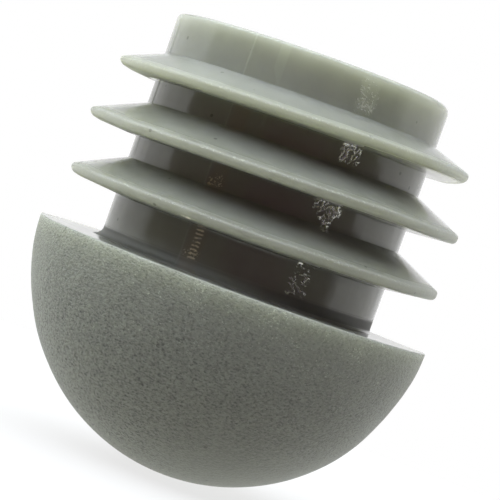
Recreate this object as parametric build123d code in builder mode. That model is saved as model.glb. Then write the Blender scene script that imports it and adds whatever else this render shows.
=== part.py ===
from build123d import *

import os
from math import radians, tan

# Domed, ribbed end cap for a round tube, moulded in one piece in soft plastic.
#
# Frame: +Z is the cap's axis and points from the dome out through the shank, which is the way
# the tube leaves it. The origin is the centre of the shoulder, the flat ring that the tube's end
# meets. All sizes are in millimetres and all angles in degrees.

# The tube that the cap closes. The head is half a ball, level with the tube's outside.
tube_outer_diameter = 25.0
tube_wall = 1.2
rim_radius = 0.12          # rounding of the head's sharp edge, at the shoulder

# Shank: the length that goes into the tube, and the roundings at its two ends.
shank_length = 14.5
foot_radius = 0.45
mouth_outer_radius = 0.55
mouth_inner_radius = 0.3

# Ribs: each slopes back from the mouth, so that it folds as the cap is pushed in.
rib_count = 3
foot_band = 2.8            # plain shank between the shoulder and the first rib
mouth_band = 2.6           # plain shank between the last rib and the mouth
rib_reach = 3.15           # how far a gripping rib stands out from the shank
rib_bite = 0.6             # how far a gripping rib stands past the tube's bore
lead_clearance = 0.05      # how far the last rib, which only guides the cap in, stays inside it
rib_lead_angle = 24.5      # the face towards the mouth, from square to the axis
rib_back_angle = 5.0       # the face towards the head, from square to the axis
rib_tip_thickness = 0.5
rib_tip_radius = 0.2       # rounding of the tip's two corners, with a narrow land left between

# Core: the blind hollow that keeps the plastic thin and lets the ribs give.
shank_wall = 2.0           # at the mouth
core_draft = 1.0
crown_wall = 4.0           # plastic left at the bottom of the head
core_floor_radius = 3.0

# What follows from them.
head_radius = tube_outer_diameter / 2
bore_radius = head_radius - tube_wall
grip_radius = bore_radius + rib_bite
lead_radius = bore_radius - lead_clearance
shank_radius = grip_radius - rib_reach
core_mouth_radius = shank_radius - shank_wall
core_floor = crown_wall - head_radius
core_depth = shank_length - core_floor
core_floor_half = core_mouth_radius - core_depth * tan(radians(core_draft))


def rise(run, angle):
    """Height that a face at this angle from square gains over a run out from the axis."""
    return run * tan(radians(angle))


def corner(section, radius, height):
    """The corner of a section at this distance from the axis and this height."""
    return section.vertices().sort_by_distance((radius, height))[0]


def rib_tips():
    """Radius and height of each rib's tip. They are evenly spaced between the plain bands."""
    radii = [grip_radius] * (rib_count - 1) + [lead_radius]
    lead_reach = lead_radius - shank_radius
    first = foot_band + rise(rib_reach, rib_back_angle) + rib_tip_thickness / 2
    last = shank_length - mouth_band - rise(lead_reach, rib_lead_angle) - rib_tip_thickness / 2
    pitch = (last - first) / (rib_count - 1)
    return [(radius, first + turn * pitch) for turn, radius in enumerate(radii)]


def body():
    """Section of the head and the plain shank, with the core taken out of it."""
    with BuildSketch(Plane.XZ) as section:
        with BuildLine():
            dome = CenterArc((0, 0), head_radius, -90, 90)
            Polyline(dome @ 1, (0, 0), dome @ 0)
        make_face()
        fillet(corner(section, head_radius, 0), rim_radius)

        Rectangle(shank_radius, shank_length, align=(Align.MIN, Align.MIN))
        fillet(corner(section, shank_radius, 0), foot_radius)

        with BuildLine():
            Polyline(
                (0, shank_length),
                (core_mouth_radius, shank_length),
                (core_floor_half, core_floor),
                (0, core_floor),
                close=True,
            )
        make_face(mode=Mode.SUBTRACT)
        fillet(corner(section, core_floor_half, core_floor), core_floor_radius)
        fillet(corner(section, core_mouth_radius, shank_length), mouth_inner_radius)
        fillet(corner(section, shank_radius, shank_length), mouth_outer_radius)
    return section.sketch


def rib(tip_radius, tip_height):
    """Section of one rib, whose root is buried in the shank's wall."""
    root_radius = shank_radius - shank_wall / 2
    reach = tip_radius - root_radius
    under = tip_height - rib_tip_thickness / 2
    over = tip_height + rib_tip_thickness / 2
    with BuildSketch(Plane.XZ) as section:
        with BuildLine():
            Polyline(
                (root_radius, under - rise(reach, rib_back_angle)),
                (tip_radius, under),
                (tip_radius, over),
                (root_radius, over + rise(reach, rib_lead_angle)),
                close=True,
            )
        make_face()
        fillet(section.vertices().group_by(Axis.X)[-1], rib_tip_radius)
    return section.sketch


body_section = body()
rib_sections = [rib(radius, height) for radius, height in rib_tips()]

with BuildPart() as end_cap:
    revolve(body_section, axis=Axis.Z)
    for section in rib_sections:
        revolve(section, axis=Axis.Z)

end_cap.part.label = "end_cap"

os.makedirs("parts", exist_ok=True)
export_step(end_cap.part, "parts/end_cap.step")
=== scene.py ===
from math import atan2, cos, pi, radians, sin, tan

import bpy
import numpy as np
from mathutils import Matrix, Vector


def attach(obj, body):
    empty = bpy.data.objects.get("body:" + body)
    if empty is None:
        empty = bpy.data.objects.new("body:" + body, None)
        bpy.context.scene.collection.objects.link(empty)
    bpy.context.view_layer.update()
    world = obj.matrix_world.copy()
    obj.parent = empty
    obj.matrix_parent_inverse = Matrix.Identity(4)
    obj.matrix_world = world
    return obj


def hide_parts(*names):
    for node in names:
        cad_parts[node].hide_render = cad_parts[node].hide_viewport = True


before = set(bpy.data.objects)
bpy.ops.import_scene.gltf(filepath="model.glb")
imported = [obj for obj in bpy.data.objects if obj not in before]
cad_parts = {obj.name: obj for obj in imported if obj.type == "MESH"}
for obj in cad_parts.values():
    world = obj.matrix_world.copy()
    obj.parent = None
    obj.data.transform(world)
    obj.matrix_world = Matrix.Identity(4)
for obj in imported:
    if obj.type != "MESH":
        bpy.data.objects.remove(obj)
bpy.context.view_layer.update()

# The cap stands dome down on its own axis, +Z out through the shank, origin at the centre of the
# shoulder. Lengths here are millimetres until the mesh is written. Azimuth 0 faces the camera,
# along -Y, and grows towards +X.
MM = 0.001


# ---------------------------------------------------------------- section of the moulding

HEAD_RADIUS = 12.5
RIM_ROUND = 0.1
RIM_DEGREES = 1.5            # how far below the shoulder the rim's rounding is aimed
SHANK_RADIUS = 8.725
SHANK_FLARE = 0.06           # how much wider the shank is at the mouth
ROOT_ROUND = 0.07            # at both roots of each rib
FOOT_ROUND, TIGHT_FOOT_ROUND = 0.55, 0.2
MOUTH_Z = 14.46
SHARP_MOUTH = (MOUTH_Z - 0.04, 0.2)    # its height, and the rounding of its outer edge
BLUNT_MOUTH = (MOUTH_Z, 0.56)
WALL_MIDDLE = 7.2            # a radius inside the shank's wall: the core is within it
CORE_MOUTH_RADIUS = 6.75
CORE_MOUTH_ROUND = 0.3
CORE_FLOOR_RADIUS = 6.35
CORE_FLOOR_ROUND = 3.0
CORE_FLOOR_Z = -8.5
CORE_RUN, OUTSIDE_RUN = 1.8, 0.45      # the longest run between two rings
AROUND = 400                 # points in each ring
# The crown as it shrank in the mould: its distance from the origin, by degrees below the shoulder.
CROWN = ((0, 12.5), (4, 12.49), (8, 12.47), (12, 12.43), (18, 12.38), (25, 12.36), (35, 12.41),
         (45, 12.42), (55, 12.44), (65, 12.44), (75, 12.45), (90, 12.45))
# Each rib, from the mouth down: its tip's radius, the heights of the tip's upper and lower corners
# and of the roots above and below, and the rounding of the two corners.
RIBS = ((11.23, 10.76, 10.24, 11.83, 10.10, 0.23, 0.31),
        (11.885, 7.26, 6.72, 8.655, 6.50, 0.21, 0.31),
        (11.852, 3.63, 3.09, 5.121, 2.77, 0.23, 0.32))


def shank_radius(z):
    return SHANK_RADIUS + SHANK_FLARE * max(z, 0.0) / MOUTH_Z


def fillet(before, at, after, radius, steps):
    """Points of the arc that rounds a corner of the outline."""
    a, p, b = (np.array(q, float) for q in (before, at, after))
    u, v = (a - p) / np.linalg.norm(a - p), (b - p) / np.linalg.norm(b - p)
    half = np.arccos(np.clip(u @ v, -1, 1)) / 2
    middle = p + (u + v) / np.linalg.norm(u + v) * radius / sin(half)
    start, end = p + u * radius / tan(half), p + v * radius / tan(half)
    s, e = start - middle, end - middle
    a0, a1 = atan2(s[1], s[0]), atan2(e[1], e[0])
    turn = (a1 - a0 + pi) % (2 * pi) - pi
    return [middle + radius * np.array((cos(a0 + turn * t), sin(a0 + turn * t)))
            for t in np.linspace(0, 1, steps + 1)]


def outline(mouth_z, mouth_round, foot_round):
    """The section from the core's floor, over the mouth and the ribs, to the crown's bottom."""
    # radius, height, rounding, and the number of steps in the rounding
    corners = [
        (0, CORE_FLOOR_Z, 0, 0),
        (CORE_FLOOR_RADIUS, CORE_FLOOR_Z, CORE_FLOOR_ROUND, 10),
        (CORE_MOUTH_RADIUS, mouth_z, CORE_MOUTH_ROUND, 5),
        (shank_radius(mouth_z), mouth_z, mouth_round, 9),
    ]
    for tip, over, under, above, below, round_over, round_under in RIBS:
        corners += [
            (shank_radius(above), above, ROOT_ROUND, 3),
            (tip, over, round_over, 6),
            (tip, under, round_under, 6),
            (shank_radius(below), below, ROOT_ROUND, 3),
        ]
    corners += [(shank_radius(0), 0, foot_round, 8), (HEAD_RADIUS, 0, RIM_ROUND, 4)]
    rim_angle = radians(RIM_DEGREES)
    end = (HEAD_RADIUS * cos(rim_angle), -HEAD_RADIUS * sin(rim_angle))
    points = [np.array(corners[0][:2], float)]
    for i in range(1, len(corners)):
        after = corners[i + 1][:2] if i + 1 < len(corners) else end
        points += fillet(corners[i - 1][:2], corners[i][:2], after, *corners[i][2:])
    angle, far = (np.array(q, float) for q in zip(*CROWN))
    for t in np.concatenate((np.linspace(1.6, 30, 24), np.linspace(31.5, 90, 36))):
        d = np.interp(t, angle, far)
        points.append(np.array((d * cos(radians(t)), -d * sin(radians(t)))))
    return np.array(points)


def with_rings(points, parts):
    """The outline with each run divided into its parts, so that it can bend along them."""
    out = [points[0]]
    for a, b, n in zip(points[:-1], points[1:], parts):
        out += [a + (b - a) * k / n for k in range(1, n + 1)]
    out = np.array(out)
    out[-1, 0] = out[0, 0] = 0.0
    return out


def run_parts(points):
    """How many parts each run is divided into: long ones in the core, short ones outside."""
    parts = []
    for a, b in zip(points[:-1], points[1:]):
        in_core = max(a[0], b[0]) < WALL_MIDDLE and min(a[1], b[1]) > -10
        longest = CORE_RUN if in_core else OUTSIDE_RUN
        parts.append(max(1, int(np.ceil(np.hypot(*(b - a)) / longest))))
    return parts


# ---------------------------------------------------------------- how this one was moulded

# Height gained for each millimetre to the right, by level: along the shank and the head.
LEAN = ((-12.5, 0.0), (-3, -0.004), (0, -0.007), (2.8, -0.002), (5.12, 0.0014), (8.65, 0.005),
        (11.8, 0.007), (14.5, 0.007))
# How far the same levels bow down at the front.
BOW = ((-1, 0.056), (0, 0.056), (0.5, 0.0), (2.8, 0.06), (5.12, 0.085), (6.54, 0.0), (8.65, 0.0),
       (10.1, 0.05), (14.5, 0.03))
# The height of each rib's tip: its lean to the right, and what it gains by azimuth in degrees.
TIPS = (
    (0.0206, ((-180, 0.16), (-150, 0.24), (-120, 0.30), (-90, 0.26), (-60, 0.05), (-41, -0.01),
              (0, -0.10), (41, -0.03), (60, -0.01), (90, 0.05), (101, -0.06), (112, -0.22),
              (124, -0.10), (150, 0.10))),
    (0.0124, ((-180, 0.06), (-150, 0.10), (-120, 0.12), (-90, 0.13), (-66, 0.06), (-55, -0.09),
              (-39, -0.11), (0, -0.20), (39, -0.13), (55, -0.19), (66, -0.16), (90, -0.09),
              (120, 0.02), (150, 0.05))),
    (0.0045, ((-180, 0.05), (-120, 0.07), (-90, 0.06), (-66, 0.03), (-55, -0.05), (-39, -0.08),
              (0, -0.21), (39, -0.15), (55, -0.12), (66, -0.04), (90, 0.0), (120, 0.03))),
)
RIB_LEVELS = ((9.4, 12.6), (5.9, 9.4), (2.0, 5.9))      # the heights that each rib lies between
# How much the shoulder sank behind, on the right.
SUNK = ((-180, -0.16), (-150, 0.0), (85, 0.0), (100, -0.08), (120, -0.26), (140, -0.36),
        (160, -0.30))
# Marks round the part: their azimuths and widths in degrees, and their heights.
PARTING, PARTING_WIDTH, PARTING_HEIGHT = (-24.3, 155.7), 0.42, 0.035     # the mould's two lines
SEAM, SEAM_WIDTH, SEAM_DEPTH = -72.2, 0.38, 0.045                        # a mould insert's edge
BURR, BURR_WIDTH, BURR_HEIGHT = -84, 7, 0.11                             # on the head's rim
THINNED, THINNED_WIDTH, THINNED_BY = -90, 16, 0.16                       # the ribs' tips
SHANK_EDGE = 8.9             # the radius that the ribs and the head start to bend from
HEAD_SHIFT = -0.1            # how far the head's rim stands off to the left
# How blunt the mouth's edge is, and how tight the foot's fillet, by azimuth.
BLUNT = ((-180, 0.3), (-90, 0.0), (15, 0.0), (50, 0.8), (70, 1), (105, 1), (140, 0.3))
TIGHT = ((-150, 0.5), (-110, 0.0), (20, 0.0), (55, 0.4), (75, 1), (120, 1))


def periodic(azimuth, table, smooth=4.0):
    """A value given at some azimuths in degrees, smoothed, all the way round."""
    at, value = zip(*table)
    grid = np.arange(-180, 180)
    levels = np.interp(grid, at, value, period=360)
    kernel = np.exp(-0.5 * (grid / smooth) ** 2)
    kernel /= kernel.sum()
    levels = np.fft.ifft(np.fft.fft(levels) * np.fft.fft(np.fft.ifftshift(kernel))).real
    return np.interp(np.degrees(azimuth), grid, levels, period=360)


def waves(azimuth, seed, turns, fall=0.5):
    """Smooth irregular waves of about -1 to 1 round the part."""
    rng = np.random.default_rng(seed)
    total = 0
    for k, n in enumerate(turns):
        total = total + fall ** k * np.sin(n * azimuth + rng.uniform(0, 2 * pi))
    return total * (1 - fall)


def step(value, start, end):
    t = np.clip((value - start) / (end - start), 0, 1)
    return t * t * (3 - 2 * t)


def bump(azimuth, middle, width):
    away = (np.degrees(azimuth) - middle + 180) % 360 - 180
    return np.exp(-0.5 * (away / width) ** 2)


def bend(rings, azimuth, outside):
    """Moves the turned shape to the real one's: leaning ribs, bowed shoulder, mould marks.

    outside is 1 for the rings to be moved and 0 for the core's.
    """
    x, y, z = rings[..., 0], rings[..., 1], rings[..., 2]
    r = np.hypot(x, y)
    a = np.broadcast_to(azimuth, r.shape)
    front = (y < 0) * (y / np.maximum(r, 1)) ** 2
    height = np.interp(z, *zip(*LEAN)) * x - np.interp(z, *zip(*BOW), left=0) * front
    out_by = np.zeros_like(r)
    for seed, (rib, (lean, gains), (low, high)) in enumerate(zip(RIBS, TIPS, RIB_LEVELS), 1):
        tip, over, under = rib[:3]
        here = (z > low) & (z < high)
        t = np.clip((r - SHANK_EDGE) / (tip - SHANK_EDGE), 0, 1)
        uneven = 0.012 * waves(a, seed, (9, 17, 31, 53, 97), 0.8)
        tip_height = lean * x + periodic(a, gains) + uneven
        height = np.where(here, height + (tip_height - height) * t, height)
        edge = np.clip((r - tip + 0.5) / 0.5, 0, 1)
        out_by += here * edge * 0.02 * waves(a, seed + 10, (5, 13, 29, 61, 113), 0.75)
        # The tip thins out at the left end.
        height += here * edge * step(z, over, under) * THINNED_BY * bump(a, THINNED, THINNED_WIDTH)
    shank = np.clip((9.25 - r) / 0.3, 0, 1) * (z > 0.3) * np.clip((r - WALL_MIDDLE) / 0.3, 0, 1)
    for line in PARTING:
        out_by += shank * PARTING_HEIGHT * bump(a, line, PARTING_WIDTH)
    out_by -= shank * step(z, 4.5, 6.5) * SEAM_DEPTH * bump(a, SEAM, SEAM_WIDTH)
    sunk = np.clip((r - SHANK_EDGE) / 3.0, 0, 1) * step(z, -3.5, -0.2) * (z < 0.3)
    height += sunk * periodic(a, SUNK)
    # A burr stands on the left end of the rim.
    rim = np.clip((r - 11.7) / 0.5, 0, 1) * (z > -0.6) * (z < 1)
    burr = bump(a, BURR, BURR_WIDTH) * (0.5 + 0.5 * waves(a, 21, (31, 67, 101, 149), 0.8))
    height += rim * (BURR_HEIGHT * burr + 0.012 * waves(a, 22, (23, 47, 89, 131), 0.85))
    shift = HEAD_SHIFT * np.clip((r - 9.3) / 2.5, 0, 1) * (z < 0.05)
    out = rings.copy()
    out[..., 2] += outside * height
    out[..., 0] += outside * (shift + out_by * x / np.maximum(r, 1))
    out[..., 1] += outside * out_by * y / np.maximum(r, 1)
    return out


def azimuths_of(count):
    """Azimuths all the way round, closer together at the parting lines and the seam."""
    fine = np.radians(np.linspace(-180, 180, 14401))
    density = 1 + sum(3 * bump(fine, line, 0.9) for line in (*PARTING, SEAM))
    total = np.concatenate(((0,), np.cumsum((density[1:] + density[:-1]) / 2)))
    return np.interp(np.arange(count) / count * total[-1], total, fine)


def build():
    """The mesh: rings of the section, bent, and closed at the core's floor and under the crown."""
    # The mouth's edge and the foot's fillet differ round the part: three outlines are blended.
    plain = outline(*SHARP_MOUTH, FOOT_ROUND)
    parts = run_parts(plain)
    plain, worn, tight = (with_rings(points, parts) for points in (
        plain, outline(*BLUNT_MOUTH, FOOT_ROUND), outline(*SHARP_MOUTH, TIGHT_FOOT_ROUND)))
    azimuths = azimuths_of(AROUND)
    # The section's axes are ring, azimuth, and then radius and height.
    section = (plain[1:-1, None]
               + (worn - plain)[1:-1, None] * periodic(azimuths, BLUNT)[:, None]
               + (tight - plain)[1:-1, None] * periodic(azimuths, TIGHT)[:, None])
    radius, height = section[..., 0], section[..., 1]
    turned = np.stack((radius * np.sin(azimuths), -radius * np.cos(azimuths), height), -1)
    over_mouth = int(np.argmax(radius.max(-1) > WALL_MIDDLE))
    outside = np.clip((radius[:, :1] - 6.9) / 0.3, 0, 1)
    outside[over_mouth:] = 1
    rings = bend(turned, azimuths, outside)
    count, around = rings.shape[:2]
    verts = np.concatenate((rings.reshape(-1, 3), ((0, 0, plain[0, 1]), (0, 0, plain[-1, 1]))))
    faces = []
    for lower in range(0, (count - 1) * around, around):
        upper = lower + around
        for j in range(around):
            k = (j + 1) % around
            faces.append((lower + j, lower + k, upper + k, upper + j))
    first, last = count * around, count * around + 1
    for j in range(around):
        k = (j + 1) % around
        faces.append((first, k, j))
        faces.append((last, (count - 1) * around + j, (count - 1) * around + k))
    mesh = bpy.data.meshes.new("end_cap_moulding")
    mesh.from_pydata((verts * MM).tolist(), [], faces)
    mesh.polygons.foreach_set("use_smooth", [True] * len(mesh.polygons))
    mesh.update()
    return mesh


# ---------------------------------------------------------------- shader graphs

class Graph:
    """Short ways to add nodes to a node tree. An input may be a number, a tuple or an output."""

    def __init__(self, tree):
        self.tree = tree

    def node(self, kind, inputs=(), **settings):
        node = self.tree.nodes.new(kind)
        for name, value in settings.items():
            setattr(node, name, value)
        for name, value in dict(inputs).items():
            self.put(value, node.inputs[name])
        return node

    def put(self, value, socket):
        if isinstance(value, bpy.types.NodeSocket):
            self.tree.links.new(value, socket)
        else:
            socket.default_value = value

    def math(self, operation, *values):
        node = self.node("ShaderNodeMath", operation=operation)
        for value, socket in zip(values, node.inputs):
            self.put(value, socket)
        return node.outputs[0]

    def add(self, *values):
        total = values[0]
        for value in values[1:]:
            total = self.math("ADD", total, value)
        return total

    def times(self, *values):
        product = values[0]
        for value in values[1:]:
            product = self.math("MULTIPLY", product, value)
        return product

    def scaled(self, vector, factor):
        """A vector times a number, or times another vector part by part."""
        if isinstance(factor, tuple):
            kind, inputs = "MULTIPLY", {0: vector, 1: factor}
        else:
            kind, inputs = "SCALE", {"Vector": vector, "Scale": factor}
        return self.node("ShaderNodeVectorMath", inputs, operation=kind).outputs[0]

    def dot(self, a, b):
        node = self.node("ShaderNodeVectorMath", operation="DOT_PRODUCT")
        self.put(a, node.inputs[0])
        self.put(b, node.inputs[1])
        return node.outputs["Value"]

    def ramp(self, value, start, end, low=0.0, high=1.0):
        """low at start, high at end, with a smooth step between them. start may be above end."""
        if start > end:
            start, end, low, high = end, start, high, low
        return self.node("ShaderNodeMapRange", {
            "Value": value, "From Min": start, "From Max": end, "To Min": low, "To Max": high,
        }, interpolation_type="SMOOTHSTEP").outputs[0]

    def tint(self, factor, a, b, blend="MIX"):
        """Colour a, turned by the factor into b, or into a times b or a plus b."""
        node = self.node("ShaderNodeMix", data_type="RGBA", blend_type=blend)
        for value, socket in zip((factor, a, b), (node.inputs[0], node.inputs[6], node.inputs[7])):
            self.put(value, socket)
        return node.outputs[2]

    def noise(self, place, scale, detail=2.0, roughness=0.5, distortion=0.0):
        """Noise about 0, mostly between -1 and 1. scale is in features for each millimetre."""
        fac = self.node("ShaderNodeTexNoise", {
            "Vector": place, "Scale": scale, "Detail": detail, "Roughness": roughness,
            "Distortion": distortion}).outputs[0]
        return self.math("MULTIPLY_ADD", fac, 4.0, -2.0)

    def between(self, value, low, high, soft):
        """1 between low and high, and 0 away from them."""
        up = self.ramp(self.math("SUBTRACT", value, low), -soft, soft)
        down = self.ramp(self.math("SUBTRACT", value, high), soft, -soft)
        return self.times(up, down)


# ---------------------------------------------------------------- material

GREY = (0.294, 0.306, 0.266)
HEAD_TINT = (0.975, 1.0, 0.955, 1)
TIP_TINT = (1.0, 1.0, 0.92, 1)
STAIN = (0.30, 0.25, 0.19, 1)
# the torn flakes' whitened colour, partly a painted glint
TORN_WHITE_AND_GLINT = (0.95, 0.95, 0.91, 1)
# partly a painted glint
RUNG_GLINT_COLOUR = (0.85, 0.78, 0.66, 1)
SHANK_DEGREE = radians(8.76)     # millimetres round the shank for each degree


def plastic():
    """Grey polyethylene: a spark-eroded dome, a glossy shank, and scuffs where the slides met, with
    painted light, shade and glints in its colour.
    """
    material = bpy.data.materials.new("grey_polyethylene")
    material.use_nodes = True
    g = Graph(material.node_tree)
    shader = material.node_tree.nodes["Principled BSDF"]
    shader.inputs["IOR"].default_value = 1.5
    shader.inputs["Subsurface Radius"].default_value = (1.0, 1.0, 0.8)
    shader.inputs["Subsurface Scale"].default_value = 0.0045
    metres = g.node("ShaderNodeTexCoord").outputs["Object"]
    place = g.scaled(metres, 1 / MM)
    xyz = g.node("ShaderNodeSeparateXYZ", {"Vector": place}).outputs
    x, y, z = xyz["X"], xyz["Y"], xyz["Z"]
    radius = g.math("SQRT", g.add(g.times(x, x), g.times(y, y)))
    azimuth = g.math("DEGREES", g.math("ARCTAN2", x, g.times(y, -1.0)))
    normal = g.node("ShaderNodeNewGeometry").outputs["Normal"]
    slope = g.node("ShaderNodeSeparateXYZ", {"Vector": normal}).outputs["Z"]

    # Which part of the cap a point is on. The shoulder is neither head nor shank.
    inside = g.times(g.ramp(radius, 7.0, 6.85), g.ramp(z, -9.4, -9.0))
    beyond_shank = g.math("MAXIMUM", g.ramp(radius, 9.5, 9.8), g.ramp(z, -0.4, -0.5))
    head = g.times(g.ramp(z, 0.4, 0.3), g.ramp(slope, 0.8, 0.5), beyond_shank,
                   g.math("SUBTRACT", 1.0, inside))
    shank = g.times(g.ramp(radius, 9.3, 9.1), g.ramp(radius, 7.4, 7.8), g.ramp(z, 0.02, 0.1))
    foot = g.times(shank, g.ramp(z, 0.85, 0.55))
    flange = g.times(g.ramp(radius, 9.0, 9.3), g.ramp(z, 1.0, 1.5))
    under = g.times(flange, g.ramp(slope, -0.55, -0.85))
    on_rib_1 = g.ramp(z, 9.4, 9.5)
    tips = g.times(g.ramp(z, 1.0, 1.5), g.add(
        g.times(on_rib_1, g.ramp(radius, 10.45, 11.15)),
        g.times(g.ramp(z, 9.4, 9.3), g.ramp(radius, 11.1, 11.75))))

    # Where the slides' edges tore the surface: a rough strip down the right of the shank. It is
    # widest between the ribs, and runs down to a point in the second gap.
    jag = g.noise(place, 2.2, 3.0)
    arc = g.times(azimuth, SHANK_DEGREE)

    def slanted(angle, squeeze):
        """A place on the shank whose noise is drawn out along a slant of so many degrees."""
        c, s = cos(radians(angle)), sin(radians(angle))
        return g.node("ShaderNodeCombineXYZ", {
            "X": g.times(g.add(g.times(arc, c), g.times(z, s)), squeeze),
            "Y": g.add(g.times(arc, -s), g.times(z, c))}).outputs[0]

    # The strip's pieces are numbered as the shank's bands are, from the mouth down: 1 is above the
    # first rib, 2 and 3 are between ribs, and 4 is next to the head.
    torn_place = g.add(azimuth, g.times(jag, 1.1))
    gap_2 = g.between(z, 8.0, 10.4, 0.1)
    gap_3 = g.between(z, 4.4, 6.9, 0.1)
    gap_4 = g.between(z, 0.75, 3.0, 0.1)
    narrowing = g.ramp(z, 6.2, 5.2)
    torn_2 = g.times(gap_2, g.between(torn_place, 21.2, 29.2, 0.7), g.ramp(z, 8.9, 9.05))
    torn_3 = g.times(gap_3, g.between(torn_place, g.math("MULTIPLY_ADD", narrowing, 5.0, 18.3),
                                      g.math("MULTIPLY_ADD", narrowing, -3.0, 29.6), 1.0))
    torn_4 = g.times(gap_4, g.between(torn_place, 19.5, 27.0, 0.8))
    torn_1 = g.times(g.between(z, 12.0, 14.1, 0.25), g.between(torn_place, 20.5, 28.0, 0.8))
    clump = g.noise(place, 1.3, 2.0)
    flakes = g.noise(slanted(55.0, 0.55), 6.6, 2.0, 0.6, 0.5)
    dashes = g.noise(slanted(-6.0, 0.45), 7.0, 2.0, 0.6, 0.5)
    dots = g.noise(place, 7.0, 1.0, 0.5, 0.3)
    # Two fine scratches cross the strip in the lowest gap.
    scratch = g.add(*(
        g.times(g.between(g.add(z, g.times(arc, 0.78)), at - 0.035, at + 0.035, 0.03),
                g.between(arc, start, end, 0.05))
        for at, start, end in ((4.02, 3.0, 3.62), (3.72, 3.12, 3.5))))
    fading = g.ramp(z, 14.0, 12.3, -0.25, 0.1)
    tear_and_glint = g.add(
        g.times(torn_2, g.ramp(g.add(flakes, g.times(clump, 0.4)), -0.15, 0.2)),
        g.times(torn_3, g.ramp(g.add(dots, g.times(clump, 0.3)), -0.1, 0.25)),
        g.times(torn_4, g.ramp(g.add(dashes, g.times(clump, 0.4)), 0.15, 0.5)),
        g.times(gap_4, scratch, 0.8),
        g.times(torn_1, g.ramp(g.add(dots, g.times(clump, 0.3), fading), 0.3, 0.7), 0.3))
    tear_and_glint = g.math("MINIMUM", g.times(shank, tear_and_glint), 1.0)
    torn = g.times(shank, g.math("MAXIMUM", g.math("MAXIMUM", torn_2, torn_3),
                                 g.times(g.math("MAXIMUM", torn_4, torn_1), 0.5)))

    # The rungs that a slide's tool marks left beside the parting line, and its speckled edge. Their
    # light colour is partly painted glints.
    rungs = g.ramp(g.math("SINE", g.math("MULTIPLY_ADD", z, 26.0, g.times(jag, 1.6))), -0.1, 0.6)
    ladder = g.times(gap_4, g.between(g.add(azimuth, g.times(jag, 0.4)), -21.0, -17.9, 0.35), rungs,
                     g.ramp(g.noise(place, 2.4), -0.9, 0.1))
    speckle = g.times(g.add(g.between(z, 5.15, 5.85, 0.12), g.between(z, 0.75, 1.35, 0.12)),
                      g.between(azimuth, -23.5, -17.0, 0.8), g.ramp(dots, 0.2, 0.6))

    # The parting lines, a stain beside the one in front, and a pale strip near it that is a painted
    # reflection.
    parting = g.times(shank, g.ramp(slope, 0.8, 0.4), g.add(*(
        g.between(azimuth, line - 0.35, line + 0.35, 0.22) for line in PARTING)))
    stain = g.times(shank, g.between(azimuth, -23.3, -16.5, 1.5), g.ramp(z, 11.0, 10.0))
    reflection_wedge = g.times(shank, g.between(azimuth, g.ramp(z, 12.9, 11.9, -13.8, -11.2), -9.8, 0.4),
                    g.add(g.between(z, 11.9, 14.2, 0.3), g.between(z, 9.3, 10.2, 0.2)))

    # The shank was drawn out of its mould along its axis, which left it faintly streaked.
    drawn = g.scaled(place, (1.0, 1.0, 0.12))
    # The core's pin was turned, and left its rings.
    turned = g.node("ShaderNodeCombineXYZ", {"X": radius, "Y": z, "Z": g.times(x, 0.05)}).outputs[0]

    # The dome's spark-eroded grain, what handling did to it, and painted shade and glints on it.
    flattened = g.scaled(place, (1.0, 1.0, 1.6))
    coarse = g.noise(flattened, 4.3, 2.0, 0.6)
    fine = g.noise(place, 8.0, 2.0, 0.6)
    pits = g.ramp(g.noise(flattened, 6.2, 1.0, 0.5, 0.4), 0.15, 0.6)
    cloud = g.noise(place, 0.16, 3.0, 0.6)
    patch = g.noise(place, 0.7, 3.0, 0.55)
    # Worn at the lower right: the grain fades there, and the same mask paints shade that darkens
    # it.
    worn = g.times(g.ramp(z, -6.5, -10.5), g.ramp(x, -4.0, 3.0), 0.75)
    grain = g.times(head, g.ramp(z, -1.0, -5.0, 0.6, 1.0), g.ramp(x, -9.0, 9.0, 1.5, 0.9),
                    g.math("SUBTRACT", 1.0, worn))
    # Painted highlights: sparse bright glints on the dome, fewer towards the bottom.
    dome_glints = g.times(head, g.ramp(g.add(fine, g.times(patch, 0.35)), 0.62, 0.85),
                     g.ramp(z, -8.0, -1.5, 0.15, 1.0))

    # The wall is thinnest round the mouth, where painted light stands for light shining through it.
    # Painted shade darkens the rib roots and the foot's fillet, mostly on the right.
    painted_light_at_mouth = g.times(g.ramp(z, 10.3, 12.0), g.ramp(radius, 7.4, 7.8))
    crease_shade = g.add(
        g.times(foot, g.ramp(x, 0.0, 5.6, 0.05, 0.5)),
        g.times(foot, g.ramp(x, -1.0, -5.0, 0.0, 0.3)),
        g.times(g.add(g.between(z, 4.3, 5.3, 0.2), g.between(z, 7.95, 8.85, 0.2)),
                g.ramp(radius, 10.6, 8.9), g.ramp(radius, 7.4, 7.8), g.ramp(x, 0.8, 6.2), 0.22))

    # A few specks of dirt.
    far = g.node("ShaderNodeTexVoronoi", {"Vector": place, "Scale": 0.5}).outputs["Distance"]
    specks = g.ramp(far, 0.07, 0.04)

    # Painted highlights: small bright dots on the upper edges of the ribs' tips.
    glints = g.times(g.between(slope, 0.15, 0.85, 0.15),
                     g.ramp(g.add(dots, g.times(clump, 0.4)), 0.35, 0.8))

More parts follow.
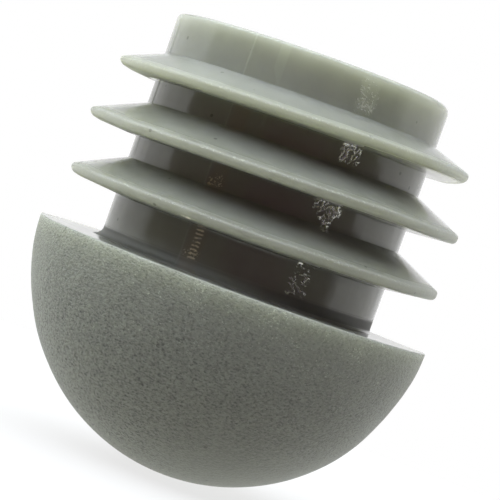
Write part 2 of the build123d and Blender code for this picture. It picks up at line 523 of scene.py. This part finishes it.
    tone = g.add(
        1.0,
        # painted light round the mouth
        g.times(painted_light_at_mouth, 0.12),
        g.times(torn_1, shank, 0.10),
        # painted light: the top rib's tip lighter
        g.times(tips, on_rib_1, 0.09),
        # painted shade under the tips' lower corners
        g.times(tips, g.ramp(slope, -0.3, -0.85), -0.18),
        # painted highlights on the tips' upper edges
        g.times(tips, glints, 0.35),
        # painted shade in the rib roots and the foot
        g.times(crease_shade, -1.0),
        g.times(cloud, 0.04),
        g.times(patch, 0.045),
        g.times(grain, coarse, 0.27),
        g.times(grain, pits, -0.34),
        g.times(grain, 0.07),
        # painted glints on the dome
        g.times(dome_glints, 0.7),
        g.times(specks, -0.4),
        # painted shade on the dome's worn lower right
        g.times(head, worn, -0.14),
        g.times(parting, 0.14),
        # painted reflection: a pale strip on the shank
        g.times(reflection_wedge, 0.10))
    tip_tint = g.times(tips, g.ramp(z, 9.4, 9.5, 0.5, 1.0), g.ramp(x, 9.5, 7.5))
    marks = g.math("MINIMUM", g.add(g.times(ladder, 0.75), g.times(speckle, 0.6)), 1.0)
    colour = g.scaled(GREY, tone)
    colour = g.tint(head, colour, HEAD_TINT, "MULTIPLY")
    colour = g.tint(tip_tint, colour, TIP_TINT, "MULTIPLY")
    colour = g.tint(g.times(stain, 0.3), colour, STAIN)
    # whitened torn flakes, painted whiter still as glints
    colour = g.tint(tear_and_glint, colour, TORN_WHITE_AND_GLINT)
    # the rungs' and speckles' light colour, partly painted glints
    colour = g.tint(marks, colour, RUNG_GLINT_COLOUR)
    g.put(colour, shader.inputs["Base Color"])

    rough = g.add(
        0.12,
        g.times(head, 0.30),
        g.times(foot, 0.4),
        g.times(inside, 0.22),
        g.times(torn, 0.08),
        g.times(flange, 0.03),
        g.times(tips, 0.26),
        g.times(patch, 0.02),
        g.times(under, g.ramp(x, 8.0, -2.0, 0.0, 0.4)),
        g.times(head, coarse, 0.03))
    g.put(rough, shader.inputs["Roughness"])
    g.put(g.math("MULTIPLY_ADD", head, -0.3, 1.0), shader.inputs["Subsurface Weight"])
    # The torn flakes glint.
    g.put(g.times(tear_and_glint, 0.7), shader.inputs["Metallic"])

    # The bump's heights are millimetres.
    height = g.add(
        g.times(grain, g.add(g.times(coarse, 0.06), g.times(fine, 0.015), g.times(pits, -0.04))),
        g.times(tear_and_glint, 0.09),
        g.times(ladder, 0.03),
        g.times(speckle, 0.025),
        g.times(shank, g.noise(place, 0.9, 3.0), 0.004),
        g.times(shank, g.noise(drawn, 0.55, 2.0, 0.55), 0.012),
        g.times(inside, g.noise(turned, 2.6, 2.0, 0.6), 0.006),
        g.times(flange, g.noise(place, 1.6, 3.0), 0.0025),
        g.times(tips, g.noise(place, 3.2, 2.0, 0.6), 0.006),
        g.times(tips, glints, 0.015))
    bump_node = g.node("ShaderNodeBump", {"Strength": 1.0, "Distance": MM, "Height": height})
    g.put(bump_node.outputs[0], shader.inputs["Normal"])
    return material


mesh = build()
mesh.materials.append(plastic())
cap = bpy.data.objects.new("end_cap_moulding", mesh)
bpy.context.scene.collection.objects.link(cap)
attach(cap, "root")
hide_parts("end_cap")


# ---------------------------------------------------------------- floor, light and camera

WHITE = (1, 1, 1, 1)
# The unlit room in front of the cap, which its shank mirrors, and its two ends.
ROOM = (0.08, 0.008, 0.05, 1)
ROOM_LEFT = (0.105, 0.076, 0.06, 1)
ROOM_RIGHT = (0.06, 0.045, 0.035, 1)
FLOOR_Z = -12.52             # just under the crown
FLOOR_RADIUS = 70.0


def seen(g):
    """1 for what the camera sees, and 1 for what is mirrored or seen through something."""
    path = g.node("ShaderNodeLightPath").outputs
    mirrored = g.math("MAXIMUM", path["Is Glossy Ray"], path["Is Transmission Ray"])
    return path["Is Camera Ray"], mirrored


def floor():
    """A white sheet under the cap. It keeps the soft shadow, and light from below passes it."""
    mesh = bpy.data.meshes.new("floor")
    turns = np.linspace(0, 2 * pi, 96, endpoint=False)
    edge = [(FLOOR_RADIUS * MM * cos(t), FLOOR_RADIUS * MM * sin(t), FLOOR_Z * MM) for t in turns]
    mesh.from_pydata(edge, [], [range(len(edge))])
    obj = bpy.data.objects.new("floor", mesh)
    bpy.context.scene.collection.objects.link(obj)
    material = bpy.data.materials.new("white_sheet")
    material.use_nodes = True
    material.node_tree.nodes.clear()
    g = Graph(material.node_tree)
    glow = g.node("ShaderNodeEmission", {"Color": WHITE, "Strength": 0.75})
    matt = g.node("ShaderNodeBsdfDiffuse", {"Color": (0.2, 0.2, 0.2, 1)})
    sheet = g.node("ShaderNodeAddShader")
    g.put(glow.outputs[0], sheet.inputs[0])
    g.put(matt.outputs[0], sheet.inputs[1])
    choice = g.node("ShaderNodeMixShader", {"Fac": g.math("MAXIMUM", *seen(g))})
    g.put(g.node("ShaderNodeBsdfTransparent").outputs[0], choice.inputs[1])
    g.put(sheet.outputs[0], choice.inputs[2])
    g.put(choice.outputs[0], g.node("ShaderNodeOutputMaterial").inputs["Surface"])
    mesh.materials.append(material)


def toward(azimuth, elevation):
    """The direction that lies at these degrees from the cap."""
    a, e = radians(azimuth), radians(elevation)
    return (cos(e) * sin(a), -cos(e) * cos(a), sin(e))


def surroundings():
    """A wide soft light overhead, a white backdrop behind and below, and an unlit side in front."""
    world = bpy.data.worlds.new("surroundings")
    bpy.context.scene.world = world
    world.use_nodes = True
    g = Graph(world.node_tree)
    direction = g.node("ShaderNodeTexCoord").outputs["Generated"]
    xyz = g.node("ShaderNodeSeparateXYZ", {"Vector": direction}).outputs
    x, y, z = xyz["X"], xyz["Y"], xyz["Z"]

    def lobe(azimuth, elevation, radius, soft):
        """1 within so many degrees of a direction, with a soft edge."""
        return g.ramp(g.dot(direction, toward(azimuth, elevation)),
                      cos(radians(radius + soft)), cos(radians(radius - soft)))

    def tinted(value, colour):
        return g.tint(1.0, value, (*colour, 1), "MULTIPLY")

    # What stands round the cap: the unlit room in front, and the backdrop behind.
    level = g.math("SQRT", g.math("MAXIMUM", g.add(g.times(x, x), g.times(y, y)), 1e-6))
    side = g.math("DIVIDE", x, level)
    ahead = g.math("DIVIDE", g.dot(direction, (-0.0545, -1.0, 0.0)), level)
    right = g.ramp(side, 0.2, 0.8)
    ahead = g.add(ahead, g.times(right, g.ramp(z, 0.05, 0.0), -0.08),
                  g.times(right, g.ramp(z, 0.2, 0.34), 0.6))
    behind = g.ramp(ahead, 0.105, -0.075)
    room = g.tint(g.ramp(side, -0.26, -0.36), ROOM, ROOM_LEFT)
    room = g.tint(g.ramp(side, 0.5, 0.62), room, ROOM_RIGHT)
    sides = g.tint(behind, room, g.ramp(z, 0.2, 0.28, 1.06, 0.673))

    # The table under it is brighter towards its ends.
    below = g.ramp(z, -0.31, -0.936)
    table = g.math("MINIMUM", g.add(g.times(x, x, 2.2), g.times(x, -0.38), 0.26), 2.2)
    around = g.tint(below, sides, tinted(table, (0.95, 1.0, 0.92)))

    # The wide lamp overhead is brighter towards the front, and a small one stands at each side.
    overhead = lobe(-87.7, 76.5, 51.5, 4.0)
    lamp = tinted(g.add(g.dot(direction, (-0.33, -1.36, 0.0)), 2.41), (0.94, 1.0, 1.05))
    light = g.tint(overhead, around, lamp)
    light = g.tint(1.0, light, g.times(lobe(125, 44, 17, 6), 0.684), "ADD")
    light = g.tint(1.0, light, g.times(lobe(-95, 38, 20, 6), 0.911), "ADD")

    # The camera and the gloss see white where the backdrop is, whatever light comes from there.
    camera, mirrored = seen(g)
    low = g.times(behind, g.ramp(z, 0.28, 0.2))
    backdrop = g.times(mirrored, g.math("MAXIMUM", low, below), g.math("SUBTRACT", 1.0, overhead))
    background = world.node_tree.nodes["Background"]
    g.put(g.tint(g.math("MAXIMUM", camera, backdrop), light, WHITE), background.inputs["Color"])


floor()
surroundings()

# The camera, from the picture's perspective. The unrolled view's axes are right, down and away.
ROLL = radians(18.6)
SIDE = Vector((0.99981306, 0.01929853, 0.00118901))                     # the cap's +X
FORWARD = Vector((8.65588665e-04, 1.67587111e-02, -9.99859188e-01))     # the cap's -Y
AXIS_UP = Vector((0.01931573, -0.9996733, -0.01673887))                 # the cap's +Z
CENTRE = Vector((-0.2124, 2.2360, 142.3217))                            # its origin, in mm
SENSOR_WIDTH = 36.0          # mm
FOCAL_LENGTH = 2321.455      # in pixels of the picture
PICTURE_WIDTH = 500          # pixels


def from_view(v):
    """A direction given as right, down and away in the unrolled view, in the cap's own axes."""
    return Vector((v.dot(SIDE), -v.dot(FORWARD), v.dot(AXIS_UP)))


camera_data = bpy.data.cameras.new("camera")
camera = bpy.data.objects.new("camera", camera_data)
bpy.context.scene.collection.objects.link(camera)
camera_data.sensor_width = SENSOR_WIDTH
camera_data.lens = SENSOR_WIDTH * FOCAL_LENGTH / PICTURE_WIDTH
camera_data.clip_start = 0.01
camera_data.clip_end = 10
right = from_view(Vector((cos(ROLL), -sin(ROLL), 0)))
down = from_view(Vector((sin(ROLL), cos(ROLL), 0)))
away = from_view(Vector((0, 0, 1)))
place = from_view(-CENTRE) * MM
camera.matrix_world = Matrix((
    (right.x, -down.x, -away.x, place.x),
    (right.y, -down.y, -away.y, place.y),
    (right.z, -down.z, -away.z, place.z),
    (0, 0, 0, 1)))
bpy.context.scene.camera = camera
bpy.context.scene.view_settings.view_transform = "Standard"
